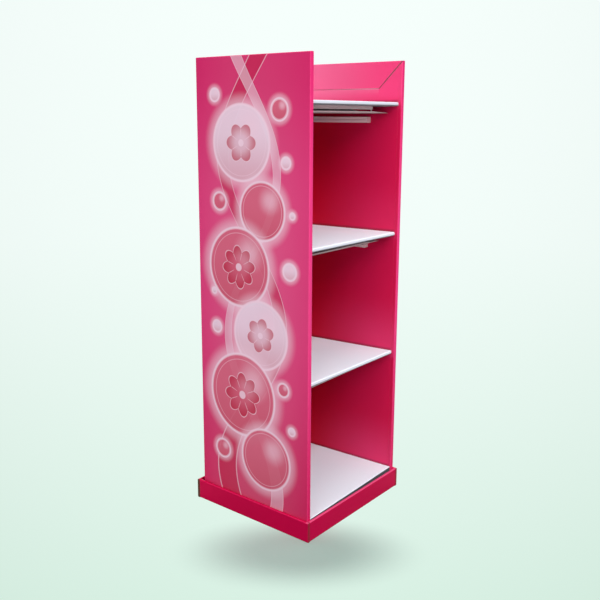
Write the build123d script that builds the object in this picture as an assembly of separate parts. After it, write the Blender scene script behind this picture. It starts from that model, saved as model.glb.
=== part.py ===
from build123d import *
import os

# Cardboard floor display stand: a shell of folded corrugated board that
# stands in a rolled-wall base tray, with three leaning shelves and a low
# bottom shelf. Millimetres. The origin is at the middle of the footprint
# on the floor, +Z is up, and the open front faces -Y.

# Boards and fits
board = 4.0            # double-wall corrugated board of the shell, tray and shelves
light_board = 3.0      # single-wall board of the bars, ledges and dividers
fold = 3.0             # outer radius of a fold in the heavy board
light_fold = 1.6       # outer radius of a fold in the light board
fit = 0.3              # clearance between pieces that slide together
seam = 0.6             # hairline between two flaps of one sheet that only meet

# Shell
clear_width = 470.0    # between the inner faces of the two side panels
wall = 16.0            # hollow side panel, outer face to inner face
depth = 460.0          # front edge of a side panel to the back of the shell
height = 1500.0        # floor to the top of the shell
flap_drop = 88.0       # top flap that hangs down the inner face
mitre_run = 90.0       # how far back the mitred front end of that flap runs
mitre_gap = 1.6        # open seam along the mitre
tuck_groove = 1.2      # radius of the groove where the flap tucks in
score_setback = 14.0   # score line behind the front edge, on the inner face
score_depth = 0.7      # depth of that score line
glue_flap = 45.0       # back panel's side flap inside the hollow side panel

# Base tray
tray_wall = 10.0       # rolled wall, outer face to inner face
tray_height = 68.0     # floor to the top of the rolled wall
tray_roll = 4.2        # outer radius of the roll along its top
tray_back_gap = 15.0   # room between the shell and the tray's rear wall

# Three upper shelves
well_depth = 132.2     # top of the shell down to the lip of the top shelf
upper_pitch = 432.5    # top shelf down to the second
middle_pitch = 420.4   # second shelf down to the third
shelf_setback = 11.0   # lip behind the front edge of the side panels
top_lean = 1.4         # degrees that the top deck drops towards the back
second_lean = 0.9      # the same for the second deck
third_lean = 2.1       # the same for the third deck
lip_height = 13.0      # rolled front lip and side flanges of a shelf
lip_fold = 5.0         # outer radius of the rolled lip
lip_return = 34.0      # flap that the lip turns back under the deck
flange_fold = 1.5      # outer radius of a deck's side folds
shelf_back_gap = 1.0   # deck short of the back panel
hook_start = 36.0      # side hook behind the lip
hook_length = 50.0     # side hook along the wall
hook_reach = 9.0       # side hook beyond the deck's edge, into the wall

# Bar under each deck, and ledges on the walls
bar_drop = 35.0        # underside of the bar below the top of the deck
bar_width = 80.0       # front to back
bar_side_gap = 3.0     # bar short of the deck's side flanges
top_bar = 38.0         # bar behind the lip, at the middle of the top shelf
second_bar = 54.0      # the same on the second shelf
third_bar = 42.0       # the same on the third shelf
bar_turn = 1.5         # degrees that the two lower bars are glued out of square
bar_slit = 5.6         # open slit where the two edges of the folded bar meet
bar_slit_rise = 5.6    # slit above the underside of the bar
bar_end_inset = 90.0   # upper part of the bar short of its foot, at the right end
bar_end_rise = 1.0     # height of the tapered foot at its very tip
bar_back_rise = 13.0   # height of the foot's rear wall where its taper starts
rear_drop = 37.0       # foot of the deck's rear flange below the top of the deck
ledge_size = 20.0      # square ledge, folded from a strip
ledge_start = 110.0    # front end of a ledge behind the lip
ledge_slit = 1.5       # seam of the folded ledge, on the room's side

# Bottom shelf, an inverted tray, and the dividers under it
bottom_level = 71.7    # deck height at the middle of its front edge
bottom_lean = 1.4      # degrees that its deck drops towards the back
bottom_roll = 1.4      # degrees that its deck drops towards the left
bottom_gap = 4.5       # gap between its front flange and the tray's front wall

# Worked out from the values above
inner_x = clear_width / 2
outer_x = inner_x + wall
front_y = -(depth + tray_back_gap) / 2
back_y = front_y + depth
sheet_y = back_y - board            # inner face of the back panel's sheet
floor_z = board                     # top of the tray's floor
flap_z = height - flap_drop
top_level = height - well_depth
second_level = top_level - upper_pitch
third_level = second_level - middle_pitch
shelf_places = {
    "top": (top_level, top_lean),
    "second": (second_level, second_lean),
    "third": (third_level, third_lean),
}
bar_places = {"top": (top_bar, 0), "second": (second_bar, bar_turn), "third": (third_bar, bar_turn)}
tray_in_x = outer_x + fit
tray_in_y = (depth + tray_back_gap) / 2 + fit
tray_out_x = tray_in_x + tray_wall
tray_out_y = tray_in_y + tray_wall
lip_y = front_y + shelf_setback
deck_half = inner_x - fit
deck_length = sheet_y - shelf_back_gap - lip_y
bottom_front_y = -tray_in_y + bottom_gap
bottom_back_y = sheet_y - shelf_back_gap
beyond = 5.0                        # how far a cutter runs past what it cuts
near = 0.01                         # how close an edge lies to the place it is picked by


def block(x_range, y_range, z_range):
    """A box between two corners, given as a low and a high value on each axis."""
    size = [high - low for low, high in (x_range, y_range, z_range)]
    middle = [(high + low) / 2 for low, high in (x_range, y_range, z_range)]
    return Pos(*middle) * Box(*size)


def edges_along(shape, axis, at_axis, place):
    """Edges that run along one axis and lie at a given place on another."""
    group = shape.edges().filter_by(axis)
    return group.filter_by_position(at_axis, place - near, place + near)


def mitre_seam():
    """Slit from the top front corner down the slant to the lower edge of the flap."""
    length = (mitre_run**2 + flap_drop**2) ** 0.5
    slant = Vector(0, mitre_run, -flap_drop).normalized()
    plane = Plane(
        origin=(inner_x + board / 2, front_y + mitre_run / 2, height - flap_drop / 2),
        x_dir=slant,
        z_dir=(1, 0, 0),
    )
    return plane * Box(length + mitre_gap, mitre_gap, board + fit)


def tuck_line():
    """Groove with rounded lips where the flap's lower edge tucks into the wall."""
    back = sheet_y + beyond
    start = front_y + mitre_run
    middle = (start + back) / 2
    groove = Pos(inner_x, middle, flap_z) * Rot(X=90) * Cylinder(tuck_groove, back - start)
    slit = block(
        (inner_x - beyond, inner_x + board + fit),
        (start, back),
        (flap_z - seam / 2, flap_z + seam / 2),
    )
    return groove + slit


def score_line():
    """Shallow V pressed into the inner face along the front fold."""
    side = score_depth * 2**0.5
    length = flap_z - floor_z
    place = Pos(inner_x, front_y + score_setback, floor_z + length / 2)
    return place * Rot(Z=45) * Box(side, side, length)


def leaned(shape, shelf):
    """Move a piece from a named shelf's own level frame to its leaning place.

    In the level frame the top of the lip is at the origin, +Y runs back.
    """
    level, lean = shelf_places[shelf]
    return Pos(0, lip_y, level) * Rot(X=-lean) * shape


def hook(clearance):
    """Flat hook on the foot of the right flange, or the cutter for its slot."""
    return block(
        (deck_half - board, inner_x + hook_reach + clearance),
        (hook_start - clearance, hook_start + hook_length + clearance),
        (-lip_height - clearance, -lip_height + board + clearance),
    )


def right_side_panel():
    """Hollow panel folded from one sheet: outer face, front strip, inner face, top flap."""
    panel = block((inner_x, outer_x), (front_y, back_y), (floor_z, height))
    front_edges = edges_along(panel, Axis.Z, Axis.Y, front_y)
    top_edges = edges_along(panel, Axis.Y, Axis.Z, height)
    panel = fillet(front_edges + top_edges, fold)
    panel -= block(
        (inner_x + board, outer_x - board),
        (front_y + board, back_y + beyond),
        (floor_z - beyond, height - board),
    )
    panel -= block(
        (inner_x - beyond, outer_x - board),
        (sheet_y - fit, back_y + beyond),
        (floor_z - beyond, height + beyond),
    )
    top_end = block(
        (inner_x - beyond, outer_x - board),
        (front_y + board, front_y + board + seam),
        (height - board - fit, height + beyond),
    )
    panel -= mitre_seam() + top_end
    panel -= tuck_line()
    panel -= score_line()
    for shelf in shelf_places:
        panel -= leaned(hook(fit), shelf)
    return panel


def back_panel():
    """Single sheet with a hemmed top and two flaps glued inside the side panels."""
    half = outer_x - board - fit
    sheet = block((-half, half), (sheet_y, back_y), (floor_z, height))
    flap_y = sheet_y - glue_flap
    flap_top = height - board - fit
    for side in (-1, 1):
        ends = sorted((side * (half - board), side * half))
        sheet += block(ends, (flap_y, back_y), (floor_z, flap_top))
    sheet = fillet(edges_along(sheet, Axis.Z, Axis.Y, back_y), fold)
    hem_y = sheet_y - fit - board
    hem = block((-deck_half, deck_half), (hem_y, back_y), (flap_z, height))
    hem = fillet(edges_along(hem, Axis.X, Axis.Z, height), board)
    hem -= block(
        (-deck_half - beyond, deck_half + beyond),
        (sheet_y - fit, sheet_y),
        (flap_z - beyond, height - board),
    )
    sheet -= block((-deck_half, deck_half), (hem_y, back_y + beyond), (flap_z, height + beyond))
    return sheet + hem


def rolled_wall(x_range, y_range, along):
    """Tray wall: outer face, rolled top and inner face, with the hollow between them."""
    across = Axis.Y if along == Axis.X else Axis.X
    solid = block(x_range, y_range, (0, tray_height))
    rolled = solid.edges().filter_by(along).sort_by(Axis.Z)[-2:]
    solid = fillet(rolled, tray_roll)
    foot = edges_along(solid, along, Axis.Z, 0).sort_by(across)
    outward = sum(x_range) + sum(y_range) > 0
    solid = fillet(foot[-1] if outward else foot[0], fold)
    inset = [board if across == Axis.X else -beyond, board if across == Axis.Y else -beyond]
    hollow = block(
        (x_range[0] + inset[0], x_range[1] - inset[0]),
        (y_range[0] + inset[1], y_range[1] - inset[1]),
        (floor_z, tray_height - board),
    )
    return solid - hollow


def base_tray():
    """Tray folded from one sheet: the side walls pass the front wall, the rear wall passes them."""
    tray = block((-tray_in_x, tray_in_x), (-tray_in_y, tray_in_y), (0, floor_z))
    side_end = tray_in_y - seam
    tray += rolled_wall((-tray_out_x, -tray_in_x), (-tray_out_y, side_end), Axis.Y)
    tray += rolled_wall((tray_in_x, tray_out_x), (-tray_out_y, side_end), Axis.Y)
    front_half = tray_in_x - seam
    tray += rolled_wall((-front_half, front_half), (-tray_out_y, -tray_in_y), Axis.X)
    tray += rolled_wall((-tray_out_x, tray_out_x), (tray_in_y, tray_out_y), Axis.X)
    return tray


def shelf_sheet():
    """Shelf folded from one sheet: deck, rolled lip with its return, flanges and hooks."""
    shelf = block((-deck_half, deck_half), (0, deck_length), (-lip_height, 0))
    lip_edges = edges_along(shelf, Axis.X, Axis.Y, 0)
    shelf = fillet(lip_edges, lip_fold)
    rear_top = edges_along(shelf, Axis.X, Axis.Y, deck_length).sort_by(Axis.Z)[-1]
    shelf = fillet(rear_top, fold)
    side_edges = edges_along(shelf, Axis.Y, Axis.Z, 0)
    shelf = fillet(side_edges, flange_fold)
    inner = deck_half - board
    shelf -= block(
        (-inner, inner),
        (board, lip_return - board),
        (-lip_height + board, -board),
    )
    shelf -= block(
        (-inner, inner),
        (lip_return, deck_length + beyond),
        (-lip_height - beyond, -board),
    )
    shelf += block(
        (-deck_half, deck_half),
        (deck_length - board, deck_length),
        (-rear_drop, -board),
    )
    for side in (0, 180):
        turn = Pos(0, hook_start + hook_length / 2) * Rot(Z=side)
        shelf += turn * Pos(0, -hook_start - hook_length / 2) * hook(0)
    return shelf


def folded_tube(size_y, size_z, length, slit):
    """Light board strip folded to a tube along X, its edges meeting at an open slit.

    The slit is a low and a high Z on the tube's -Y face, whose foot is the origin.
    """
    tube = block((-length / 2, length / 2), (0, size_y), (0, size_z))
    tube = fillet(tube.edges().filter_by(Axis.X), light_fold)
    tube -= block(
        (-length / 2 - beyond, length / 2 + beyond),
        (light_board, size_y - light_board),
        (light_board, size_z - light_board),
    )
    return tube - block((-length / 2 - beyond, length / 2 + beyond), (-beyond, light_board), slit)


def bar_outline(foot, top, rise):
    """Front view of a bar: full length, its right end cut back to a foot that tapers from a rise."""
    end = foot - bar_end_inset
    left = [(-foot, top), (-foot, 0)]
    right = [(foot, 0), (foot, bar_end_rise), (end, rise), (end, top)]
    return Plane.XZ * make_face(Polyline(*left, *right, close=True))


def support_bar(shelf):
    """Bar under a named deck, in the shelf's level frame, between the side flanges."""
    start, turn = bar_places[shelf]
    foot = deck_half - board - bar_side_gap
    top = bar_drop - board
    slit = (bar_slit_rise, bar_slit_rise + bar_slit)
    tube = folded_tube(bar_width, top, 2 * foot, slit)
    front = extrude(bar_outline(foot, top, bar_slit_rise), -light_board)
    rear = extrude(bar_outline(foot, top, bar_back_rise), -bar_width)
    behind = block((-foot, foot), (light_board, bar_width), (0, top))
    end = foot - bar_end_inset
    cap = block((end - light_board, end), (light_board, light_board * 2), (light_board, top))
    tube = (tube & front) + (tube & rear & behind) + cap
    return Pos(0, start, -bar_drop) * Rot(Z=turn) * tube


def ledge_top(shelf):
    """Height of the line on which the foot of a leaning shelf's rear flange comes down."""
    foot = leaned(block((-1, 1), (deck_length - board, deck_length), (-rear_drop, 0)), shelf)
    return foot.bounding_box().min.Z


def wall_ledge(side, shelf):
    """Square ledge glued along a side wall, on which the back of a shelf rests.

    A flap tucked in at the front closes that end.
    """
    start = lip_y + ledge_start
    length = sheet_y - start
    slit = (ledge_size / 2 - ledge_slit / 2, ledge_size / 2 + ledge_slit / 2)
    tube = folded_tube(ledge_size, ledge_size, length, slit)
    inside = (light_board, ledge_size - light_board)
    ends = sorted((side * length / 2, side * (length / 2 - light_board)))
    tube += block(ends, inside, inside)
    turned = Rot(Z=-side * 90) * tube
    place = Pos(side * (inner_x - ledge_size), start + length / 2, ledge_top(shelf) - ledge_size)
    return place * turned


def under_bottom_deck(drop):
    """Half-space below the bottom shelf's sloping deck, lowered by a drop."""
    slope = Rot(X=-bottom_lean) * Rot(Y=-bottom_roll)
    room = 2 * height
    cutter = Pos(0, 0, -room / 2 - drop) * Box(room, room, room)
    return Pos(0, bottom_front_y, bottom_level) * slope * cutter


def bottom_shelf():
    """Inverted tray whose four flanges stand on the floor; its long folds are rounded."""
    shelf = block((-deck_half, deck_half), (bottom_front_y, bottom_back_y), (floor_z, height))
    shelf &= under_bottom_deck(0)
    deck_edges = shelf.faces().sort_by(Axis.Z)[-1].edges().sort_by(Axis.Y)
    shelf = fillet([deck_edges[0], deck_edges[-1]], fold)
    room = block(
        (-deck_half + board, deck_half - board),
        (bottom_front_y + board, bottom_back_y - board),
        (floor_z - beyond, height),
    )
    return shelf - (room & under_bottom_deck(board))


def divider(turned):
    """Upright board under the bottom deck, halved where the two boards cross."""
    reach_x = deck_half - board - fit
    low_y = bottom_front_y + board + fit
    high_y = bottom_back_y - board - fit
    middle_y = (low_y + high_y) / 2
    half = light_board / 2
    if turned:
        upright = block((-half, half), (low_y, high_y), (floor_z, height))
    else:
        upright = block((-reach_x, reach_x), (middle_y - half, middle_y + half), (floor_z, height))
    upright &= under_bottom_deck(board + fit)
    halving_z = floor_z + (bottom_level - floor_z) / 2
    slot_z = (halving_z, height) if turned else (floor_z - beyond, halving_z + fit)
    slot = half + fit
    return upright - block((-slot, slot), (middle_y - slot, middle_y + slot), slot_z)


def build():
    """All pieces of the stand by name, each in its place."""
    pieces = {}
    right = right_side_panel()
    pieces["right_side_panel"] = right
    pieces["left_side_panel"] = mirror(right, about=Plane.YZ)
    pieces["back_panel"] = back_panel()
    pieces["base_tray"] = base_tray()
    pieces["bottom_shelf"] = bottom_shelf()
    pieces["bottom_divider_long"] = divider(False)
    pieces["bottom_divider_cross"] = divider(True)
    sheet = shelf_sheet()
    for name in shelf_places:
        pieces[name + "_shelf"] = leaned(sheet, name)
        pieces[name + "_shelf_bar"] = leaned(support_bar(name), name)
        for side_name, side in (("left", -1), ("right", 1)):
            pieces[name + "_shelf_" + side_name + "_ledge"] = wall_ledge(side, name)
    return pieces


os.makedirs("parts", exist_ok=True)
for node, piece in build().items():
    export_step(piece, "parts/" + node + ".step")
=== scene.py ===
"""Looks of a printed cardboard floor display stand, laid out as an add-on.

The frame gives the pieces of the stand in metres, with the origin in the middle
of the footprint on the floor, +Z up and the open front facing -Y. The operators
below give every piece its finish, with print, wear along folds, cut edges and
some painted light and shade, and build the stage.
"""

import math

import bpy
import numpy as np
from mathutils import Matrix, Vector


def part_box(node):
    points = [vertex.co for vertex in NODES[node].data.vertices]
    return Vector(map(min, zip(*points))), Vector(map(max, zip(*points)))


bl_info = {
    "name": "Cardboard Display Stand",
    "version": (1, 0, 0),
    "blender": (4, 5, 0),
    "location": "3D View > Sidebar > Stand",
    "description": "Finishes, lights and stages a printed cardboard floor display stand",
    "category": "Object",
}

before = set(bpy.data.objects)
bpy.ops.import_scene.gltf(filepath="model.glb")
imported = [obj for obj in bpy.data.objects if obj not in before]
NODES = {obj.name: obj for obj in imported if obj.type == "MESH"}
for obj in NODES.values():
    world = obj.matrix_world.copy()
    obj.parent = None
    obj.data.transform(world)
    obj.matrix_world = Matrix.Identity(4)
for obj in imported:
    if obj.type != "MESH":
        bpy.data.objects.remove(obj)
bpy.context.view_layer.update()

# Sizes read from the frame
panel_low, panel_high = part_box("left_side_panel")
_, tray_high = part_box("base_tray")
PANEL_OUTER = -panel_low.x                        # outer face of a side panel, from the middle
PANEL_INNER = -panel_high.x                       # inner face of a side panel, from the middle
PANEL_FRONT = panel_low.y
PANEL_MIDDLE = (panel_low.y + panel_high.y) / 2
PANEL_TOP = panel_high.z
TRAY_OUT_X = tray_high.x
TRAY_OUT_Y = tray_high.y
TRAY_TOP = tray_high.z
TRAY_WALL = TRAY_OUT_X - PANEL_OUTER              # rolled wall with its fit to the panels
WELL_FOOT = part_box("top_shelf")[1].z              # front edge of the top deck
SHELF_NAMES = ("top", "second", "third")
SIDES = ("left", "right")

# Sizes of the part that its boxes don't give
FLAP_DROP = 0.088                                 # top flap down a side panel's inner face
MITRE_RUN = 0.090                                 # its mitred front end, along the top
FLAP_FOOT = PANEL_TOP - FLAP_DROP
MITRE_END = PANEL_FRONT + MITRE_RUN
DECK_FALLS = {                                    # fall of each deck towards the back, in degrees
    "top_shelf": 1.4,
    "second_shelf": 0.9,
    "third_shelf": 2.1,
    "bottom_shelf": 1.4,
}
BOTTOM_ROLL = 1.4                                 # the bottom deck's fall towards the left, in degrees

# Pink of the bays: levels of the decks that throw painted bounce light on the walls above them, and how
# much
DECKS = tuple((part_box(name + "_shelf")[1].z, strength)
              for name, strength in (("second", 0.35), ("third", 0.85), ("bottom", 1.0)))
LIGHT_REACH = 0.20                                # height of the painted bounce light above a deck
DEEP_FROM = PANEL_MIDDLE - 0.14                   # painted shade: the walls redden from here to DEEP_TO
DEEP_TO = PANEL_MIDDLE + 0.20
WELL_PALE = 0.42                                  # painted light: paleness of the walls above the top deck's back

# Lines of wear, painted highlight and painted shade: none at the first distance, full at the second
FOLD_LINE = (0.0034, 0.0008)                      # paler ink along a fold
TUCK_LINE = (0.0026, 0.0014)                      # painted highlight along the flap's lower edge
SEAM_LINE = (0.0042, 0.0014)                      # shade along the flap's mitre
CONTACT_LINE = (0.012, 0.001)                     # shade on the walls above a deck

# Gain and base of a strength that follows a value between 0 and 1
FOLD_STRENGTH = (0.20, 0.05)                      # specks of a noise
TUCK_STRENGTH = (-0.30, 0.42)                     # less towards the back
SEAM_STRENGTH = (0.26, 0.36)                      # broken by a noise
SEAM_FADE = (0.55, 0.45)                          # less towards the lower end
PETAL_COVER = (0.55, 0.15)                        # crimson of a rosette, more towards its rim
PRINT_LIGHT = (0.06, 0.04)                        # light down the side print, more low down
FIBRE_TONE = (0.16, 0.88)                         # streaks of the brown liner
EDGE_TONE = (0.5, 0.75)                           # fibres of a cut edge
LINES_TONE = (0.018, 0.985)                       # flute lines of a plain liner

# Sizes and strengths of single marks
TUCK_BAND = 0.022                                 # height of the painted paler band below the flap
TUCK_BAND_COVER = 0.07
CONTACT_COVER = 0.50                              # shade above a deck
RIM_COVER = 0.6                                   # painted highlight on the top of the tray's front wall rim
FRONT_END_COVER = 0.5                             # raw wall ends at the tray's front corners
RAW_SHADE = 0.42                                  # painted shade on all the tray's raw wall ends
TRAY_FRONT_SHADE = 0.14                           # painted shade: front of the tray darker than its sides
CLOUD_SPREAD = 0.08                               # unevenness of a sheet's tone
GRAIN_SPREAD = 0.03                               # grain of its paper
WARP = 0.0006                                     # unevenness of a large sheet's face, in metres
PAPER_RELIEF = 0.00003                            # grain of a plain liner, in metres
PLAIN_GLOSS = 0.3                                 # reflection of a plain liner
BACK_ROUGHNESS = 0.6

# Plain liners: colour, flute pitch against the print's, relief of the flutes in metres,
# roughness, and how much painted shade they get facing down and on an upright front
LINERS = {
    "white liner": ("white", 1.0, 0.00004, 0.62, 0.72, 0.22),
    "white liner, low": ("white", 1.0, 0.00004, 0.62, 0.72, 0.90),
    # grey and pale: the white liner darkened, as painted shade under the shelves
    "grey liner": ("grey", 0.7, 0.00005, 0.7, 0.45, 0.0),
    "pale liner": ("pale", 0.7, 0.00005, 0.7, 0.45, 0.0),
    "brown board": ("kraft", 0.7, 0.00006, 0.8, 0.0, 0.0),
}

# Stage
FLOOR_DROP = -0.0004                              # floor just clear of the tray's underside
FLOOR_RINGS = (0.001, 0.5, 1.5, 3.0)              # radii of the flat floor's inner rings
BEND_RADIUS = 1.6                                 # bend from the floor up to the wall
BEND_STEPS = 13                                   # rings up the bend
RING_POINTS = 96                                  # points round each ring
TONE_START = 0.65                                 # backdrop's tone, see stage_finish
TONE_HEIGHT = 1.6
TONE_GAIN = 1.2
TONE_REACH = 2.4
EYE_DISTANCE = 2.62                               # from the camera to the stand, over the floor
SIDE_FALL = 0.24                                  # how fast the tone falls off to the sides
SIDE_LIMIT = 0.25
SHADOW_MIDDLE = -0.405                            # patch of floor that shows the shadow
SHADOW_LENGTH = 0.235                             # its half length and half width
SHADOW_WIDTH = 0.42
SHADOW_COVER = 0.62
SHADOW_TINT = (0.86, 1.05, 1.03)                  # cools the lit floor to the backdrop's colour

# Lamps: name, place, aim, size in metres, power in watts and tint
LAMPS = (
    ("side lamp", (-4.7, -1.6, 1.4), (0.0, 0.0, 0.75), 2.4, 66.0, (1.0, 1.0, 1.0)),
    ("front lamp", (-0.9, -4.7, 4.9), (0.0, 0.0, 0.5), 2.6, 300.0, (0.96, 1.0, 1.05)),
    ("top lamp", (-1.3, -0.9, 3.8), (0.0, 0.0, 0.9), 2.0, 30.0, (1.0, 1.0, 1.0)),
    ("rear lamp", (2.6, 4.2, 1.3), (0.0, 0.2, 0.7), 2.6, 110.0, (1.0, 1.0, 1.0)),
)
FLOOR_LAMP = ("floor lamp", (0.9, 0.75, 3.6), (0.0, 0.0, 0.0), 1.0, 90.0, (1.0, 1.0, 1.0))
BOUNCE_LAMP = ("bounce lamp", (-2.0, -1.7, 1.1), (0.2, 0.0, 1.0), 1.0, 17.0, (1.0, 0.58, 0.64))


def linear(red, green, blue):
    """Linear colour of a printed colour given as three values up to 255.

    Each value is divided by 255, then raised by the usual display curve.
    """
    def channel(value):
        value /= 255.0
        return value / 12.92 if value <= 0.04045 else ((value + 0.055) / 1.055) ** 2.4
    return tuple(channel(value) for value in (red, green, blue))


def colour_property(name, description, red, green, blue):
    """Colour property whose default is given as three values up to 255."""
    return bpy.props.FloatVectorProperty(
        name=name, description=description, subtype="COLOR", size=3,
        min=0.0, max=1.0, default=linear(red, green, blue),
    )


class StandPrintSettings(bpy.types.PropertyGroup):
    """Inks and liner of the printed board."""

    panel_upper: colour_property("Panel upper", "Pink at the top of a side panel", 222, 40, 108)
    panel_middle: colour_property("Panel middle", "Lighter pink half-way up a side panel", 233, 60, 126)
    panel_lower: colour_property("Panel lower", "Pink at the foot of a side panel", 216, 26, 94)
    inner: colour_property("Inner faces", "Pink inside the bays, near the open front", 217, 22, 78)
    # Painted bounce light: the walls are painted lighter just above a deck
    inner_bounce_light: colour_property(
        "Inner faces, low", "Pink just above a deck, near the open front", 227, 54, 108,
    )
    # Painted shade: redder and darker towards the back of the bays
    deep: colour_property("Inner faces, deep", "Redder pink towards the back of the bays", 220, 12, 50)
    # Painted light: the open well above the top shelf, paler towards the back
    well_light: colour_property("Well", "Lighter pink above the top shelf", 248, 70, 128)
    well_back_light: colour_property("Well, deep", "Paler pink above the back of the top shelf", 255, 190, 226)
    tray: colour_property("Tray", "Crimson of the base tray", 208, 4, 72)
    # Also laid as a painted highlight on the tray's front rim
    wear_and_highlight: colour_property("Worn fold", "Ink that has paled along a fold", 240, 96, 142)
    rose: colour_property("Rose", "Rose of the discs in the side print", 222, 88, 118)
    glow: colour_property("Glow", "Pale glow round the discs", 255, 222, 236)
    mist: colour_property("Mist", "Pale lilac of the lighter discs", 248, 224, 238)
    crimson: colour_property("Crimson", "Crimson of the ribbons and rosettes", 196, 14, 58)
    ink_roughness: bpy.props.FloatProperty(
        name="Ink roughness", description="Roughness of the varnished print",
        min=0.0, max=1.0, default=0.5, subtype="FACTOR",
    )
    ink_gloss: bpy.props.FloatProperty(
        name="Ink gloss", description="Strength of the varnish's reflection",
        min=0.0, max=1.0, default=0.10, subtype="FACTOR",
    )
    flute_pitch: bpy.props.FloatProperty(
        name="Flute pitch", description="Distance from one flute under the liner to the next",
        min=0.001, max=0.02, default=0.0066, unit="LENGTH",
    )
    flute_relief: bpy.props.FloatProperty(
        name="Flute relief", description="Height of the flutes that press through the liner",
        min=0.0, max=0.001, default=0.00005, unit="LENGTH",
    )


class StandBoardSettings(bpy.types.PropertyGroup):
    """Plain liners and cut edges of the board."""

    white: colour_property("White liner", "Unprinted white liner of the shelves", 244, 248, 255)
    # Painted shade: the grey and pale liners stand for the white liner in the shade under the shelves,
    # darkened by different amounts
    grey: colour_property("Grey liner", "Duller liner of the folded bars", 204, 192, 190)
    pale: colour_property("Pale liner", "Liner of the ledges glued on the walls", 226, 216, 215)
    kraft: colour_property("Kraft", "Brown board of the dividers and of cut edges", 172, 132, 98)
    # Painted shadow colour: between the flutes at cut edges, above the decks and along the mitre seam
    core: colour_property("Core", "Shadow between the flutes at a cut edge", 66, 50, 40)
    liner: bpy.props.FloatProperty(
        name="Liner", description="Thickness of the paper on each face of the board",
        min=0.0001, max=0.002, default=0.0006, unit="LENGTH",
    )
    thickness: bpy.props.FloatProperty(
        name="Board", description="Thickness of the double-wall board",
        min=0.001, max=0.01, default=0.004, unit="LENGTH",
    )


class StandStageSettings(bpy.types.PropertyGroup):
    """Backdrop, lamps and camera."""

    high: colour_property("Backdrop top", "Backdrop far behind the stand", 246, 255, 252)
    low: colour_property("Backdrop foot", "Floor in front of the stand", 217, 241, 228)
    bounce: colour_property("Bounce", "Floor and backdrop as the stand sees them", 226, 224, 230)
    floor_radius: bpy.props.FloatProperty(
        name="Floor radius", description="Radius of the flat floor",
        min=2.0, max=20.0, default=6.0, unit="LENGTH",
    )
    wall_height: bpy.props.FloatProperty(
        name="Backdrop height", description="Height of the backdrop behind the floor",
        min=2.0, max=20.0, default=7.0, unit="LENGTH",
    )
    ambient: bpy.props.FloatProperty(
        name="Ambient", description="Strength of the even light from all round",
        min=0.0, max=2.0, default=0.38,
    )
    lens: bpy.props.FloatProperty(
        name="Lens", description="Focal length of the camera in millimetres",
        min=10.0, max=200.0, default=47.367,
    )
    azimuth: bpy.props.FloatProperty(
        name="Azimuth", description="Turn of the camera to the left of the open front",
        default=math.radians(51.17), subtype="ANGLE",
    )
    pitch: bpy.props.FloatProperty(
        name="Pitch", description="Downward tilt of the camera",
        default=math.radians(11.74), subtype="ANGLE",
    )
    roll: bpy.props.FloatProperty(
        name="Roll", description="Turn of the camera about its own axis",
        default=math.radians(0.27), subtype="ANGLE",
    )
    eye: bpy.props.FloatVectorProperty(
        name="Eye", description="Place of the camera",
        default=(-2.049, -1.650, 1.3217), subtype="TRANSLATION", unit="LENGTH",
    )
    rise: bpy.props.FloatProperty(
        name="Rise", description="Upward shift of the picture, as a share of its width",
        min=-0.2, max=0.2, default=-20 / 600,
    )


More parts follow.
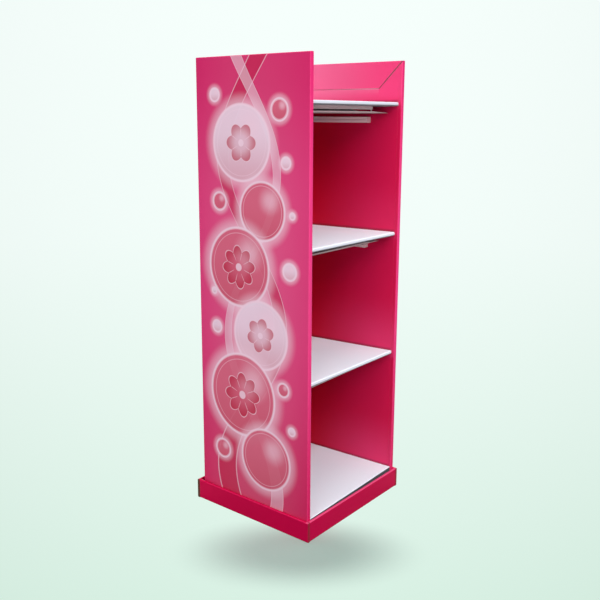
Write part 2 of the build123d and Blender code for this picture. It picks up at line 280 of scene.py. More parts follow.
class Finish:
    """One material under construction. A value may be a socket or a number."""

    def __init__(self, name):
        self.material = bpy.data.materials.new(name)
        self.material.use_nodes = True
        self.tree = self.material.node_tree
        self.tree.nodes.clear()
        source = self.node("ShaderNodeTexCoord")
        self.place = source.outputs["Object"]
        self.x, self.y, self.z = self.node("ShaderNodeSeparateXYZ", {0: self.place}).outputs
        facing = self.node("ShaderNodeSeparateXYZ", {0: source.outputs["Normal"]})
        self.facing_x, self.facing_y, self.facing_z = facing.outputs

    def node(self, kind, inputs=None, **settings):
        """New node with its settings, each input set to a value or linked to a socket."""
        made = self.tree.nodes.new(kind)
        for key, value in settings.items():
            setattr(made, key, value)
        for key, value in (inputs or {}).items():
            if isinstance(value, bpy.types.NodeSocket):
                self.tree.links.new(value, made.inputs[key])
            elif made.inputs[key].type == "RGBA":
                made.inputs[key].default_value = (*value, 1.0)
            else:
                made.inputs[key].default_value = value
        return made

    def math(self, operation, *values):
        """Result of one math node on up to three values."""
        return self.node("ShaderNodeMath", dict(enumerate(values)), operation=operation).outputs[0]

    def add(self, *values):
        """Sum of several values."""
        total = values[0]
        for value in values[1:]:
            total = self.math("ADD", total, value)
        return total

    def minus(self, first, second):
        """First value less the second."""
        return self.math("SUBTRACT", first, second)

    def apart(self, first, second):
        """Size of the difference of two values."""
        return self.math("ABSOLUTE", self.minus(first, second))

    def scaled(self, value, gain, base):
        """Value times the gain, plus the base."""
        return self.math("MULTIPLY_ADD", value, gain, base)

    def length(self, first, second):
        """Length of a step with two parts at right angles."""
        return self.math("SQRT", self.add(self.times(first, first), self.times(second, second)))

    def times(self, *values):
        """Product of several values."""
        product = values[0]
        for value in values[1:]:
            product = self.math("MULTIPLY", product, value)
        return product

    def rise(self, value, low, high):
        """0 below low, 1 above high, and the smooth cubic step between. High may be the lower one."""
        turned = low > high
        inputs = {0: value, 1: min(low, high), 2: max(low, high), 3: float(turned), 4: float(not turned)}
        made = self.node("ShaderNodeMapRange", inputs, interpolation_type="SMOOTHSTEP")
        return made.outputs[0]

    def band(self, value, low, high, soft):
        """1 between low and high, falling smoothly to 0 over the soft width outside."""
        return self.times(self.rise(value, low - soft, low), self.rise(value, high + soft, high))

    def ridge(self, value, width):
        """Bell of a signed distance: one minus its square over the width's, held at 0, squared."""
        share = self.math("DIVIDE", value, width)
        left = self.math("MAXIMUM", self.minus(1.0, self.times(share, share)), 0.0)
        return self.times(left, left)

    def mix(self, factor, first, second):
        """Colour mixed from the first to the second by the factor."""
        inputs = {0: factor, 6: first, 7: second}
        return self.node("ShaderNodeMix", inputs, data_type="RGBA").outputs[2]

    def lay(self, colour, ink, *shares):
        """Colour with an ink laid over it, by the product of the shares."""
        return self.mix(self.times(*shares), colour, ink)

    def shade(self, colour, amount):
        """Colour made lighter or darker by an amount about 1."""
        return self.node("ShaderNodeHueSaturation", {"Color": colour, "Value": amount}).outputs[0]

    def noise(self, scale, detail=2.0, stretch=(1.0, 1.0, 1.0)):
        """Cloudy noise from 0 to 1 on the piece's own coordinates, its grain in 1/m."""
        where = self.node("ShaderNodeMapping", {0: self.place, 3: stretch}).outputs[0]
        made = self.node("ShaderNodeTexNoise", {"Vector": where, "Scale": scale, "Detail": detail})
        return made.outputs["Fac"]

    def bump(self, height, distance, strength=1.0, under=None):
        """Normal bumped by a height from 0 to 1 times the distance in metres."""
        inputs = {"Height": height, "Distance": distance, "Strength": strength}
        if under is not None:
            inputs["Normal"] = under
        return self.node("ShaderNodeBump", inputs).outputs[0]

    def surface(self, colour, roughness, gloss, normal):
        """Closes the material with one principled shader and returns it."""
        shader = self.node("ShaderNodeBsdfPrincipled", {
            "Base Color": colour,
            "Roughness": roughness,
            "Specular IOR Level": gloss,
            "Normal": normal,
        })
        self.node("ShaderNodeOutputMaterial", {0: shader.outputs[0]})
        return self.material


def settings():
    """The three groups of settings: print, board and stage."""
    scene = bpy.context.scene
    return scene.stand_print, scene.stand_board, scene.stand_stage


def wear_finish(name, material):
    """Puts one material on a frame node."""
    slots = NODES[name].material_slots
    if not slots:
        raise RuntimeError("the node %s has no material slot" % name)
    for slot in slots:
        slot.material = material


def flute_wave(finish, run, pitch):
    """Sine from 0 to 1 along a run, with one turn to each pitch."""
    turn = finish.times(run, 2.0 * math.pi / pitch)
    return finish.scaled(finish.math("SINE", turn), 0.5, 0.5)


def upright_flutes(finish, ink):
    """Washboard of upright flutes on the upright faces, along x plus y."""
    return flute_wave(finish, finish.add(finish.x, finish.y), ink.flute_pitch)


def cut_edge(finish, board, across, along, pitch):
    """Colour of a cut edge: liners on both faces, and a sine flute between shadows.

    Across runs from 0 to the board's thickness, along runs across the flutes. The
    flute's and the liners' bounds are shares of the thickness.
    """
    middle = finish.math("DIVIDE", across, board.thickness)
    inner = 0.5 - board.liner / board.thickness
    turn = finish.times(along, 2.0 * math.pi / pitch)
    wave = finish.scaled(finish.math("SINE", turn), inner, 0.5)
    flute = finish.rise(finish.apart(middle, wave), 0.20, 0.10)
    liner = finish.rise(finish.apart(middle, 0.5), inner - 0.03, inner + 0.03)
    paper = finish.math("MAXIMUM", flute, liner)
    fibre = finish.scaled(finish.noise(900.0), *EDGE_TONE)
    return finish.shade(finish.mix(paper, board.core, board.kraft), fibre)


def ink_tone(finish):
    """Slow unevenness and paper grain of a sheet, as a factor near 1."""
    cloud = finish.noise(3.2, 3.0)
    grain = finish.noise(420.0, 1.0)
    tone = finish.scaled(cloud, CLOUD_SPREAD, 1.0 - 0.5 * CLOUD_SPREAD)
    return finish.scaled(grain, GRAIN_SPREAD, finish.minus(tone, 0.5 * GRAIN_SPREAD))


def inner_face(finish):
    """1 on the faces that line the bays, 0 outside them."""
    return finish.rise(finish.math("ABSOLUTE", finish.x), PANEL_INNER + 0.0015, PANEL_INNER + 0.0005)


def panel_ink(finish, ink):
    """Pink of the panels: lighter half-way up outside, deeper inside, painted light above the top shelf.

    Inside, painted bounce light lightens the pink just above the three lower decks, and
    painted shade reddens it towards the back. Above the top shelf painted light makes it
    paler towards the back instead.
    """
    middle = finish.rise(finish.z, 0.02 * PANEL_TOP, 0.5 * PANEL_TOP)
    outside = finish.mix(middle, ink.panel_lower, ink.panel_middle)
    upper = finish.rise(finish.z, 0.7 * PANEL_TOP, PANEL_TOP)
    outside = finish.mix(upper, outside, ink.panel_upper)
    behind = finish.rise(finish.y, DEEP_FROM, DEEP_TO)
    inside = ink.inner
    # Painted bounce light just above each lower deck
    for level, strength in DECKS:
        near = finish.rise(finish.z, level + LIGHT_REACH, level + 0.02)
        over = finish.rise(finish.z, level - 0.03, level - 0.02)
        inside = finish.lay(inside, ink.inner_bounce_light, near, over, strength)
    # Painted shade, redder towards the back of the bays
    inside = finish.lay(inside, ink.deep, behind)
    # Painted light above the top shelf, paler towards the back
    along = finish.rise(finish.y, PANEL_FRONT + 0.005, PANEL_MIDDLE + 0.33)
    well_light = finish.lay(ink.well_light, ink.well_back_light, along, WELL_PALE)
    above = finish.rise(finish.z, WELL_FOOT - 0.03, WELL_FOOT + 0.03)
    inside = finish.lay(inside, well_light, above)
    return finish.mix(inner_face(finish), outside, inside)


def fold_wear(finish, *distances):
    """Broken pale line where ink has cracked along folds, from distances to them."""
    nearest = distances[0]
    for distance in distances[1:]:
        nearest = finish.math("MINIMUM", nearest, distance)
    speck = finish.rise(finish.noise(260.0, 3.0), 0.38, 0.62)
    return finish.times(finish.rise(nearest, *FOLD_LINE), finish.scaled(speck, *FOLD_STRENGTH))


def tuck_highlight(finish):
    """Painted highlight along the lower edge of the flap on a side panel's inner face.

    The highlight fades towards the back, and a soft, faintly paler painted band lies below it.
    """
    line = finish.rise(finish.apart(finish.z, FLAP_FOOT), *TUCK_LINE)
    strength = finish.scaled(finish.rise(finish.y, -0.10, 0.10), *TUCK_STRENGTH)
    climb = finish.rise(finish.z, FLAP_FOOT - TUCK_BAND, FLAP_FOOT - 0.002)
    under = finish.rise(finish.z, FLAP_FOOT + 0.001, FLAP_FOOT - 0.001)
    band = finish.times(climb, under, TUCK_BAND_COVER)
    wear = finish.math("MAXIMUM", finish.times(line, strength), band)
    behind = finish.rise(finish.y, MITRE_END, MITRE_END + 0.002)
    width = finish.math("ABSOLUTE", finish.x)
    inward = finish.rise(width, PANEL_INNER + 0.0036, PANEL_INNER + 0.0030)
    return finish.times(wear, behind, inward)


def deck_contact(finish):
    """Narrow shade on the panels and the back, just above the line where each deck meets them.

    A deck's line starts at the top of its front edge and falls towards the back, and
    the bottom deck's also towards the left.
    """
    shade = 0.0
    for name, fall in DECK_FALLS.items():
        low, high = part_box(name)
        slope = math.tan(math.radians(fall))
        down = finish.scaled(finish.y, slope, -slope * low.y - high.z)
        if name == "bottom_shelf":
            roll = math.tan(math.radians(BOTTOM_ROLL))
            down = finish.scaled(finish.x, -roll, finish.add(down, roll * high.x))
        height = finish.add(finish.z, down)
        line = finish.times(
            finish.rise(height, *CONTACT_LINE),
            finish.rise(height, -0.003, -0.002),
            finish.rise(finish.y, low.y - 0.001, low.y + 0.007),
        )
        shade = finish.math("MAXIMUM", shade, line)
    return finish.times(shade, inner_face(finish), CONTACT_COVER)


def mitre_shadow(finish):
    """Broken dark line along the flap's slanting seam, fainter towards its lower end.

    The seam runs from the top front corner to the front end of the flap's lower edge.
    """
    length = math.hypot(MITRE_RUN, FLAP_DROP)
    sideways = finish.times(finish.minus(finish.y, PANEL_FRONT), FLAP_DROP / length)
    downwards = finish.times(finish.minus(finish.z, PANEL_TOP), MITRE_RUN / length)
    away = finish.math("ABSOLUTE", finish.add(sideways, downwards))
    line = finish.rise(away, *SEAM_LINE)
    above = finish.rise(finish.z, FLAP_FOOT - 0.001, FLAP_FOOT + 0.001)
    broken = finish.scaled(finish.rise(finish.noise(55.0, 2.0), 0.40, 0.58), *SEAM_STRENGTH)
    fade = finish.scaled(finish.rise(finish.z, FLAP_FOOT, FLAP_FOOT + 0.05), *SEAM_FADE)
    return finish.times(line, above, inner_face(finish), broken, fade)


def corner_distance(finish, first, first_at, second, second_at):
    """Distance from the line where two coordinates both have their given values."""
    return finish.length(finish.minus(first, first_at), finish.minus(second, second_at))


def panel_folds(finish):
    """Distances to the upright front folds and the top folds of both side panels."""
    width = finish.math("ABSOLUTE", finish.x)
    return (
        corner_distance(finish, width, PANEL_OUTER, finish.y, PANEL_FRONT),
        corner_distance(finish, width, PANEL_INNER, finish.y, PANEL_FRONT),
        corner_distance(finish, width, PANEL_OUTER, finish.z, PANEL_TOP),
        corner_distance(finish, width, PANEL_INNER, finish.z, PANEL_TOP),
    )


def panel_cut_ends(finish, board, ink, colour):
    """Covers the raw rear and lower ends of a side panel's sheet with the cut edge."""
    across = finish.minus(PANEL_OUTER, finish.math("ABSOLUTE", finish.x))
    rear = finish.rise(finish.facing_y, 0.6, 0.8)
    colour = finish.mix(rear, colour, cut_edge(finish, board, across, finish.z, ink.flute_pitch))
    foot = finish.rise(finish.facing_z, -0.6, -0.8)
    return finish.mix(foot, colour, cut_edge(finish, board, across, finish.y, ink.flute_pitch))


# Generic side print. Each disc and rosette is at (y, z) from the panel's middle line and
# the floor, with its radius, in metres. A disc names its ink, and a rosette has its
# number of petals and its turn in radians.
LARGE_DISCS = (
    (0.040, 1.240, 0.116, "mist"),
    (-0.045, 1.035, 0.090, "rose"),
    (0.055, 0.850, 0.126, "rose"),
    (-0.035, 0.640, 0.110, "mist"),
    (0.045, 0.425, 0.138, "rose"),
    (-0.055, 0.225, 0.102, "rose"),
)
SMALL_DISCS = (
    (-0.115, 1.340, 0.032, "rose"),
    (0.150, 1.385, 0.020, "mist"),
    (-0.140, 1.185, 0.018, "mist"),
    (0.135, 1.055, 0.028, "rose"),
    (-0.155, 0.860, 0.026, "mist"),
    (-0.130, 0.480, 0.022, "rose"),
    (0.155, 0.640, 0.020, "mist"),
    (0.135, 0.215, 0.032, "rose"),
    (-0.165, 0.350, 0.013, "mist"),
    (0.165, 0.760, 0.010, "mist"),
    (-0.165, 1.030, 0.010, "mist"),
)
ROSETTES = (
    (0.040, 1.240, 0.062, 6, 0.0),
    (0.055, 0.850, 0.070, 8, 0.4),
    (-0.035, 0.640, 0.058, 6, 0.9),
    (0.045, 0.425, 0.076, 8, 0.2),
)
# Ribbons: swing, turns, start of the sine, half width, ink and strength
RIBBONS = (
    (0.118, 1.45, 0.6, 0.034, "crimson", 0.50),
    (-0.105, 1.45, 0.9, 0.020, "mist", 0.42),
)
# Strength of each layer of a motif over what lies below it
COVER = {
    "halo": 0.50,
    "foot": 0.38,
    "gleam": 0.55,
    "fill": 0.84,
    "ring": 0.40,
    "rim": 0.92,
    "vein": 0.6,
    "outline": 0.75,
    "eye": 0.8,
    "ribbon edge": 0.55,
}
PRINT_EDGE = 0.0008                               # half width of a motif's soft edge
RIBBON_SWELL = 0.35                               # how much a ribbon's width swells and narrows


def away_from(finish, centre_y, centre_z):
    """Distance on the left face from a point of the print."""
    inputs = {0: finish.place, 1: (-PANEL_OUTER, PANEL_MIDDLE + centre_y, centre_z)}
    return finish.node("ShaderNodeVectorMath", inputs, operation="DISTANCE").outputs["Value"]


def draw_disc(finish, ink, colour, disc):
    """One disc of the side print: halo, see-through fill, gleam, inner ring and bright rim.

    The signed distance is the distance from the disc's centre less its radius.
    The fill deepens from the top of the disc to its foot.
    """
    centre_y, centre_z, radius, kind = disc
    away = finish.minus(away_from(finish, centre_y, centre_z), radius)
    halo = finish.rise(away, 0.26 * radius + 0.014, 0.0)
    colour = finish.lay(colour, ink.glow, halo, COVER["halo"])
    foot = finish.rise(finish.z, centre_z + 0.4 * radius, centre_z - 1.1 * radius)
    body = finish.lay(getattr(ink, kind), ink.crimson, foot, COVER["foot"])
    lit = away_from(finish, centre_y - 0.34 * radius, centre_z + 0.38 * radius)
    gleam = finish.rise(lit, 0.60 * radius, 0.05 * radius)
    body = finish.lay(body, ink.glow, gleam, COVER["gleam"])
    inside = finish.rise(away, PRINT_EDGE, -PRINT_EDGE)
    colour = finish.lay(colour, body, inside, COVER["fill"])
    ring = finish.ridge(finish.add(away, 0.13 * radius), 0.0022)
    colour = finish.lay(colour, ink.glow, ring, COVER["ring"])
    rim = finish.ridge(away, 0.0045 + 0.02 * radius)
    return finish.lay(colour, ink.glow, rim, COVER["rim"])


def draw_rosette(finish, ink, colour, rosette):
    """Rosette of petals: its outline is radius (0.72 + 0.28 |cos(petals angle / 2 + turn)|).

    The petals are filled with crimson that pales towards the middle, round a pale eye.
    """
    centre_y, centre_z, radius, petals, turn = rosette
    reach = away_from(finish, centre_y, centre_z)
    sideways = finish.minus(finish.y, PANEL_MIDDLE + centre_y)
    upwards = finish.minus(finish.z, centre_z)
    angle = finish.math("ARCTAN2", upwards, sideways)
    wave = finish.math("COSINE", finish.scaled(angle, 0.5 * petals, turn))
    petal = finish.math("ABSOLUTE", wave)
    away = finish.minus(reach, finish.scaled(petal, 0.28 * radius, 0.72 * radius))
    inside = finish.rise(away, PRINT_EDGE, -PRINT_EDGE)
    deep = finish.rise(reach, 0.25 * radius, radius)
    colour = finish.lay(colour, ink.crimson, inside, finish.scaled(deep, *PETAL_COVER))
    between = finish.rise(petal, 0.16, 0.04)
    vein = finish.times(between, finish.rise(away, -0.003, -0.006))
    outward = finish.rise(reach, 0.26 * radius, 0.4 * radius)
    colour = finish.lay(colour, ink.glow, vein, outward, COVER["vein"])
    colour = finish.lay(colour, ink.glow, finish.ridge(away, 0.0026), COVER["outline"])
    eye = finish.rise(reach, 0.20 * radius, 0.16 * radius)
    return finish.lay(colour, ink.glow, eye, COVER["eye"])


def draw_ribbon(finish, ink, colour, ribbon):
    """Ribbon up the panel: its middle line is a sine of the height, its edges are soft.

    The width swells and narrows with a cosine of half the turns.
    """
    swing, turns, start, width, kind, strength = ribbon
    angle = finish.scaled(finish.z, 2.0 * math.pi * turns / PANEL_TOP, start)
    middle = finish.scaled(finish.math("SINE", angle), swing, PANEL_MIDDLE)
    slow = finish.scaled(finish.math("COSINE", finish.times(angle, 0.5)), RIBBON_SWELL, 1.0)
    away = finish.apart(finish.y, middle)
    share = finish.math("DIVIDE", away, finish.times(slow, width))
    cover = finish.rise(share, 1.06, 0.94)
    colour = finish.lay(colour, getattr(ink, kind), cover, strength)
    edge = finish.band(share, 0.96, 1.02, 0.05)
    return finish.lay(colour, ink.glow, edge, COVER["ribbon edge"])


def side_print(finish, ink):
    """Outer left face: a soft light down the middle, two ribbons, a rising run of discs, rosettes."""
    light = finish.ridge(finish.minus(finish.y, PANEL_MIDDLE), 0.30)
    lower = finish.scaled(finish.rise(finish.z, PANEL_TOP, 0.6 * PANEL_TOP), *PRINT_LIGHT)
    colour = finish.lay(panel_ink(finish, ink), ink.glow, light, lower)
    layers = (
        (draw_ribbon, RIBBONS),
        (draw_disc, LARGE_DISCS + SMALL_DISCS),
        (draw_rosette, ROSETTES),
    )
    for draw, motifs in layers:
        for motif in motifs:
            colour = draw(finish, ink, colour, motif)
    return colour


def sheet_normal(finish, wave, ink, warp_scale):
    """Normal of a printed sheet: its flutes and a slow warp, whose grain is in 1/m."""
    relief = finish.bump(wave, ink.flute_relief)
    return finish.bump(finish.noise(warp_scale, 2.0), WARP, 0.5, relief)


def panel_finish(name, with_print):
    """Varnished printed board of a side panel, with the side print on its outer face or not."""
    ink, board, _ = settings()
    finish = Finish(name)
    colour = panel_ink(finish, ink)
    if with_print:
        outward = finish.rise(finish.facing_x, -0.7, -0.9)
        outer = finish.rise(finish.x, -PANEL_OUTER + 0.004, -PANEL_OUTER + 0.002)
        colour = finish.lay(colour, side_print(finish, ink), outward, outer)
    colour = finish.shade(colour, ink_tone(finish))
    colour = finish.lay(colour, ink.wear_and_highlight, fold_wear(finish, *panel_folds(finish)))
    # Painted highlight along the flap's lower edge
    colour = finish.lay(colour, ink.glow, tuck_highlight(finish))
    dull = finish.mix(0.2, board.core, board.grey)
    colour = finish.lay(colour, dull, mitre_shadow(finish))
    colour = finish.lay(colour, board.core, deck_contact(finish))
    colour = panel_cut_ends(finish, board, ink, colour)
    normal = sheet_normal(finish, upright_flutes(finish, ink), ink, 9.0)
    return finish.surface(colour, ink.ink_roughness, ink.ink_gloss, normal)


def back_finish(name):
    """Back sheet: printed towards the bays, plain brown liner with faint flute lines behind."""
    ink, board, _ = settings()
    finish = Finish(name)
    printed = finish.shade(panel_ink(finish, ink), ink_tone(finish))
    printed = finish.lay(printed, board.core, deck_contact(finish))
    wave = flute_wave(finish, finish.x, ink.flute_pitch)
    fibre = finish.scaled(finish.noise(160.0, 3.0, (1.0, 1.0, 0.25)), *FIBRE_TONE)
    liner = finish.shade(board.kraft, finish.scaled(wave, 0.03, fibre))
    behind = finish.rise(finish.facing_y, 0.3, 0.6)
    colour = finish.mix(behind, printed, liner)
    normal = sheet_normal(finish, wave, ink, 9.0)
    return finish.surface(colour, BACK_ROUGHNESS, ink.ink_gloss, normal)


def rolled_end(finish, board, ink, inward):
    """Raw end of the tray's rolled wall: two layers of board, mirrored about the middle, with painted
    shade.
    """
    layer = finish.math("PINGPONG", inward, 0.5 * TRAY_WALL)
    return finish.shade(cut_edge(finish, board, layer, finish.z, ink.flute_pitch), RAW_SHADE)


def tray_finish(name):
    """Crimson board of the base tray, with its raw wall ends left brown and a painted highlight on its
    front rim.
    """
    ink, board, _ = settings()
    finish = Finish(name)
    width = finish.math("ABSOLUTE", finish.x)
    length = finish.math("ABSOLUTE", finish.y)
    forward = finish.rise(finish.facing_y, -0.7, -0.9)
    # Painted shade: the front face darker than the sides
    front = finish.scaled(forward, -TRAY_FRONT_SHADE, 1.0)
    colour = finish.shade(ink.tray, finish.times(ink_tone(finish), front))
    folds = (
        corner_distance(finish, width, TRAY_OUT_X, finish.z, TRAY_TOP),
        corner_distance(finish, length, TRAY_OUT_Y, finish.z, TRAY_TOP),
    )
    colour = finish.lay(colour, ink.wear_and_highlight, fold_wear(finish, *folds))
    # Painted highlight on the upward faces of the front wall's rim
    front_wall = finish.rise(finish.y, TRAY_WALL - TRAY_OUT_Y, TRAY_WALL - TRAY_OUT_Y - 0.001)
    upward = finish.rise(finish.facing_z, 0.2, 0.6)
    colour = finish.lay(colour, ink.wear_and_highlight, front_wall, upward, RIM_COVER)
    beside = finish.rise(width, TRAY_OUT_X - TRAY_WALL - 0.0002, TRAY_OUT_X - TRAY_WALL)
    raw = rolled_end(finish, board, ink, finish.minus(TRAY_OUT_X, width))
    colour = finish.lay(colour, raw, forward, beside, FRONT_END_COVER)
    behind = finish.rise(finish.y, TRAY_OUT_Y - TRAY_WALL, TRAY_OUT_Y - TRAY_WALL + 0.0002)
    sideward = finish.rise(finish.math("ABSOLUTE", finish.facing_x), 0.7, 0.9)
    raw = rolled_end(finish, board, ink, finish.minus(TRAY_OUT_Y, finish.y))
    colour = finish.lay(colour, raw, sideward, behind)
    normal = sheet_normal(finish, upright_flutes(finish, ink), ink, 14.0)
    return finish.surface(colour, ink.ink_roughness, 0.5 * ink.ink_gloss, normal)


def plain_finish(name):
    """Matte unprinted liner: faint flute lines, paper grain, and painted shade where it faces down.

    It also gets painted shade on an upright front, such as the bottom shelf's front flange, which stands
    in a narrow gap.
    """
    ink, board, _ = settings()
    kind, pitch_share, relief_height, roughness, under_shade, front_shade = LINERS[name]
    finish = Finish(name)
    wave = flute_wave(finish, finish.y, pitch_share * ink.flute_pitch)
    lines = finish.scaled(wave, *LINES_TONE)
    # Painted shade on faces that point down and on upright fronts
    under = finish.scaled(finish.rise(finish.facing_z, 0.05, -0.5), -under_shade, 1.0)
    front = finish.scaled(finish.rise(finish.facing_y, -0.75, -0.95), -front_shade, 1.0)
    tone = finish.times(lines, ink_tone(finish), under, front)
    colour = finish.shade(getattr(board, kind), tone)
    relief = finish.bump(wave, relief_height)
    normal = finish.bump(finish.noise(1400.0, 2.0), PAPER_RELIEF, 0.4, relief)
    return finish.surface(colour, roughness, PLAIN_GLOSS, normal)


class STAND_OT_side_panels(bpy.types.Operator):
    """Print and varnish the two hollow side panels"""

    bl_idname = "stand.side_panels"
    bl_label = "Side Panels"

    def execute(self, context):
        wear_finish("left_side_panel", panel_finish("left panel print", True))
        wear_finish("right_side_panel", panel_finish("right panel print", False))
        return {"FINISHED"}


class STAND_OT_back_panel(bpy.types.Operator):
    """Print the inner face of the back sheet and leave its outer face brown"""

    bl_idname = "stand.back_panel"
    bl_label = "Back Panel"

    def execute(self, context):
        wear_finish("back_panel", back_finish("back sheet print"))
        return {"FINISHED"}


class STAND_OT_base_tray(bpy.types.Operator):
    """Print the rolled base tray and leave its wall ends raw"""

    bl_idname = "stand.base_tray"
    bl_label = "Base Tray"

    def execute(self, context):
        wear_finish("base_tray", tray_finish("tray print"))
        return {"FINISHED"}


class STAND_OT_shelves(bpy.types.Operator):
    """Give the three upper shelves and the bottom shelf their white liner"""

    bl_idname = "stand.shelves"
    bl_label = "Shelves"

    def execute(self, context):
        white = plain_finish("white liner")
        for name in SHELF_NAMES:
            wear_finish(name + "_shelf", white)
        wear_finish("bottom_shelf", plain_finish("white liner, low"))
        return {"FINISHED"}


class STAND_OT_bars_and_ledges(bpy.types.Operator):
    """Give the folded bars and the wall ledges their duller liner"""

    bl_idname = "stand.bars_and_ledges"
    bl_label = "Bars and Ledges"

    def execute(self, context):
        grey = plain_finish("grey liner")
        pale = plain_finish("pale liner")
        for name in SHELF_NAMES:
            wear_finish(name + "_shelf_bar", grey)
            for side in SIDES:
                wear_finish("%s_shelf_%s_ledge" % (name, side), pale)
        return {"FINISHED"}


class STAND_OT_dividers(bpy.types.Operator):
    """Give the halved dividers under the bottom shelf their brown board"""

    bl_idname = "stand.dividers"
    bl_label = "Dividers"

    def execute(self, context):
        brown = plain_finish("brown board")
        wear_finish("bottom_divider_long", brown)
        wear_finish("bottom_divider_cross", brown)
        return {"FINISHED"}


def surface_of_turning(name, radii, heights, around):
    """Closed ring surface: a profile of radii and heights turned about the Z axis.

    A point is at (radius cos angle, radius sin angle, height), the angle running
    once round in equal steps. Faces point towards the axis and up.
    """
    angles = np.arange(around) * (2.0 * np.pi / around)
    rings = len(radii)
    points = np.empty((rings, around, 3))
    points[..., 0] = radii[:, None] * np.cos(angles)
    points[..., 1] = radii[:, None] * np.sin(angles)
    points[..., 2] = heights[:, None]
    ring, step = np.meshgrid(np.arange(rings - 1), np.arange(around), indexing="ij")
    after = (step + 1) % around
    corners = (ring * around + step, (ring + 1) * around + step,
               (ring + 1) * around + after, ring * around + after)
    faces = np.stack(corners, axis=-1).reshape(-1, 4)
    mesh = bpy.data.meshes.new(name)
    mesh.from_pydata(points.reshape(-1, 3).tolist(), [], faces.tolist())
    mesh.polygons.foreach_set("use_smooth", np.ones(len(faces), dtype=bool))
    made = bpy.data.objects.new(name, mesh)
    bpy.context.scene.collection.objects.link(made)
    return made


def stage_finish(stage):
    """Pale backdrop that glows with painted tones for the camera, lit in a patch of floor so that the
    shadow shows there.

    Behind is the distance behind the stand along the camera's heading, side the one
    across it. With d = behind + 1.6 z + 0.65, held at 0 or more, the tone climbs as
    1.2 d / (d + 2.4), at most 1. With e = behind + 2.62, held at 0.5 or more, it is
    multiplied by 1 - 0.24 min(0.25, (side / e)^2). The lit patch is an ellipse that
    fades out to its rim. Other rays see a plain surface of the bounce colour.
    """
    finish = Finish("stage")
    ahead, across = math.sin(stage.azimuth), math.cos(stage.azimuth)
    behind = finish.add(finish.times(finish.x, ahead), finish.times(finish.y, across))
    side = finish.add(finish.times(finish.x, across), finish.times(finish.y, -ahead))
    run = finish.add(behind, finish.times(finish.z, TONE_HEIGHT), TONE_START)
    run = finish.math("MAXIMUM", run, 0.0)
    climb = finish.math("DIVIDE", finish.times(run, TONE_GAIN), finish.add(run, TONE_REACH))
    colour = finish.mix(finish.math("MINIMUM", climb, 1.0), stage.low, stage.high)
    from_eye = finish.math("MAXIMUM", finish.add(behind, EYE_DISTANCE), 0.5)
    slant = finish.math("DIVIDE", side, from_eye)
    fall = finish.math("MINIMUM", finish.times(slant, slant), SIDE_LIMIT)
    colour = finish.shade(colour, finish.scaled(fall, -SIDE_FALL, 1.0))
    # The camera sees the backdrop glow with the painted tone; only the patch shows the lit floor and its
    # shadow
    seen = finish.node("ShaderNodeEmission", {"Color": colour})
    cooled = finish.node("ShaderNodeVectorMath", {0: colour, 1: SHADOW_TINT}, operation="MULTIPLY")
    lit = finish.node("ShaderNodeBsdfDiffuse", {"Color": cooled.outputs[0]})
    ring = finish.length(
        finish.math("DIVIDE", finish.minus(behind, SHADOW_MIDDLE), SHADOW_LENGTH),
        finish.math("DIVIDE", side, SHADOW_WIDTH),
    )
    share = finish.times(finish.rise(ring, 1.0, 0.25), SHADOW_COVER)
    shadowed = finish.node("ShaderNodeMixShader", {0: share, 1: seen.outputs[0], 2: lit.outputs[0]})
    plain = finish.node("ShaderNodeBsdfDiffuse", {"Color": stage.bounce})
    path = finish.node("ShaderNodeLightPath")
    direct = finish.math("MAXIMUM", path.outputs["Is Camera Ray"], path.outputs["Is Glossy Ray"])
    direct = finish.math("MAXIMUM", direct, path.outputs["Is Transmission Ray"])
    both = finish.node("ShaderNodeMixShader", {0: direct, 1: plain.outputs[0], 2: shadowed.outputs[0]})
    finish.node("ShaderNodeOutputMaterial", {0: both.outputs[0]})
    return finish.material


def build_backdrop(stage):
    """Round floor that bends up into a wall, in one turned surface that casts no shadow.

    Along the bend the radius is the floor's plus the bend's times the sine of a, and
    the height is the bend's radius times one minus the cosine of a, with a from 0 to a
    quarter turn.
    """
    reach = stage.floor_radius
    arc = np.linspace(0.0, 0.5 * np.pi, BEND_STEPS)
    radii = np.concatenate((FLOOR_RINGS, reach + BEND_RADIUS * np.sin(arc), [reach + BEND_RADIUS]))
    flat = np.full(len(FLOOR_RINGS), FLOOR_DROP)
    heights = np.concatenate((flat, BEND_RADIUS * (1.0 - np.cos(arc)), [stage.wall_height]))
    backdrop = surface_of_turning("backdrop", radii, heights, RING_POINTS)
    backdrop.data.materials.append(stage_finish(stage))
    backdrop.visible_shadow = False
    return backdrop


def add_lamp(name, place, aim, size, power, tint):
    """Square area lamp at a place, turned to an aim."""
    data = bpy.data.lights.new(name, "AREA")
    data.shape = "SQUARE"
    data.size = size
    data.energy = power
    data.color = tint
    lamp = bpy.data.objects.new(name, data)
    lamp.location = place
    lamp.rotation_mode = "QUATERNION"
    lamp.rotation_quaternion = (Vector(aim) - Vector(place)).to_track_quat("-Z", "Y")
    bpy.context.scene.collection.objects.link(lamp)
    return lamp


def limit_lamp(lamp, pieces, link_state):
    """Lets a lamp light only some pieces (INCLUDE), or everything else (EXCLUDE)."""
    group = bpy.data.collections.new(lamp.name + " reach")
    for piece in pieces:
        group.objects.link(piece)
    for entry in group.collection_objects:
        entry.light_linking.link_state = link_state
    lamp.light_linking.receiver_collection = group


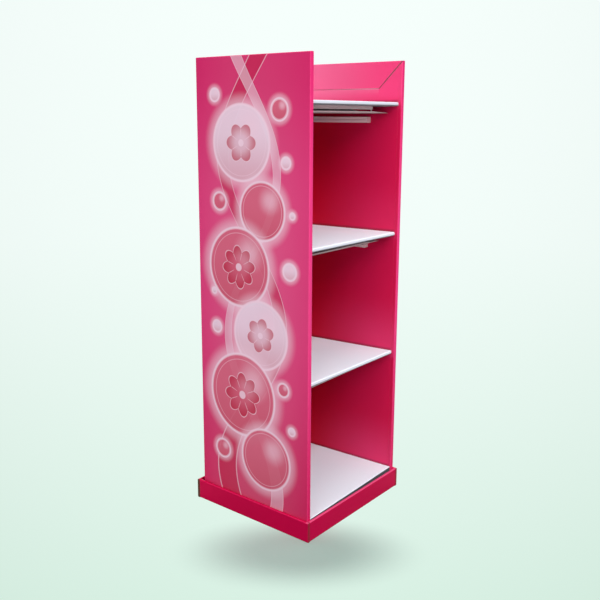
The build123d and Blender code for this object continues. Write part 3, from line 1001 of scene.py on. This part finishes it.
def add_world(stage):
    """Even light from all round, and the backdrop's colour where the camera sees past it."""
    world = bpy.data.worlds.new("studio")
    bpy.context.scene.world = world
    world.use_nodes = True
    tree = world.node_tree
    tree.nodes.clear()
    path = tree.nodes.new("ShaderNodeLightPath")
    even = tree.nodes.new("ShaderNodeBackground")
    even.inputs[0].default_value = (1.0, 1.0, 1.0, 1.0)
    even.inputs[1].default_value = stage.ambient
    seen = tree.nodes.new("ShaderNodeBackground")
    seen.inputs[0].default_value = (*stage.high, 1.0)
    choose = tree.nodes.new("ShaderNodeMixShader")
    tree.links.new(path.outputs["Is Camera Ray"], choose.inputs[0])
    tree.links.new(even.outputs[0], choose.inputs[1])
    tree.links.new(seen.outputs[0], choose.inputs[2])
    output = tree.nodes.new("ShaderNodeOutputWorld")
    tree.links.new(choose.outputs[0], output.inputs[0])


def add_camera(stage):
    """Camera whose axes are worked out from its azimuth, pitch and roll."""
    turn, pitch, roll = stage.azimuth, stage.pitch, stage.roll
    back = Vector((
        -math.sin(turn) * math.cos(pitch), -math.cos(turn) * math.cos(pitch), math.sin(pitch),
    ))
    right = Vector((0.0, 0.0, 1.0)).cross(back).normalized()
    up = back.cross(right)
    rolled_right = math.cos(roll) * right + math.sin(roll) * up
    rolled_up = math.cos(roll) * up - math.sin(roll) * right
    data = bpy.data.cameras.new("camera")
    data.lens = stage.lens
    data.sensor_width = 36.0
    data.shift_y = stage.rise
    camera = bpy.data.objects.new("camera", data)
    axes = Matrix((rolled_right, rolled_up, back)).transposed().to_4x4()
    camera.matrix_world = Matrix.Translation(stage.eye) @ axes
    bpy.context.scene.collection.objects.link(camera)
    bpy.context.scene.camera = camera


class STAND_OT_stage(bpy.types.Operator):
    """Build the floor, backdrop, lamps and camera"""

    bl_idname = "stand.stage"
    bl_label = "Stage"

    def execute(self, context):
        _, _, stage = settings()
        backdrop = build_backdrop(stage)
        add_world(stage)
        for lamp in [add_lamp(*row) for row in LAMPS]:
            left_out = [backdrop]
            if lamp.name == "top lamp":
                left_out.append(NODES["top_shelf"])
            limit_lamp(lamp, left_out, "EXCLUDE")
        limit_lamp(add_lamp(*FLOOR_LAMP), [backdrop], "INCLUDE")
        folded = [NODES[name] for name in NODES if name.endswith(("_bar", "_ledge"))]
        limit_lamp(add_lamp(*BOUNCE_LAMP), folded, "INCLUDE")
        add_camera(stage)
        context.scene.view_settings.view_transform = "Standard"
        return {"FINISHED"}


class STAND_PT_sidebar(bpy.types.Panel):
    """Buttons for each step, above the settings"""

    bl_idname = "STAND_PT_sidebar"
    bl_label = "Display Stand"
    bl_space_type = "VIEW_3D"
    bl_region_type = "UI"
    bl_category = "Stand"

    def draw(self, context):
        column = self.layout.column(align=True)
        for step in STEPS:
            column.operator(step.bl_idname)
        for group in (context.scene.stand_print, context.scene.stand_board, context.scene.stand_stage):
            box = self.layout.box()
            for name in group.bl_rna.properties.keys():
                if name not in ("rna_type", "name"):
                    box.prop(group, name)


STEPS = (
    STAND_OT_side_panels,
    STAND_OT_back_panel,
    STAND_OT_base_tray,
    STAND_OT_shelves,
    STAND_OT_bars_and_ledges,
    STAND_OT_dividers,
    STAND_OT_stage,
)
GROUPS = {
    "stand_print": StandPrintSettings,
    "stand_board": StandBoardSettings,
    "stand_stage": StandStageSettings,
}


def register():
    """Registers the settings, the operators and the sidebar."""
    for name, group in GROUPS.items():
        bpy.utils.register_class(group)
        setattr(bpy.types.Scene, name, bpy.props.PointerProperty(type=group))
    for step in STEPS:
        bpy.utils.register_class(step)
    bpy.utils.register_class(STAND_PT_sidebar)


def unregister():
    """Takes everything out again, in the opposite order."""
    bpy.utils.unregister_class(STAND_PT_sidebar)
    for step in reversed(STEPS):
        bpy.utils.unregister_class(step)
    for name, group in reversed(GROUPS.items()):
        delattr(bpy.types.Scene, name)
        bpy.utils.unregister_class(group)


def main():
    """Runs every step in order."""
    register()
    for step in STEPS:
        family, action = step.bl_idname.split(".")
        getattr(getattr(bpy.ops, family), action)()


if __name__ == "__main__":
    main()
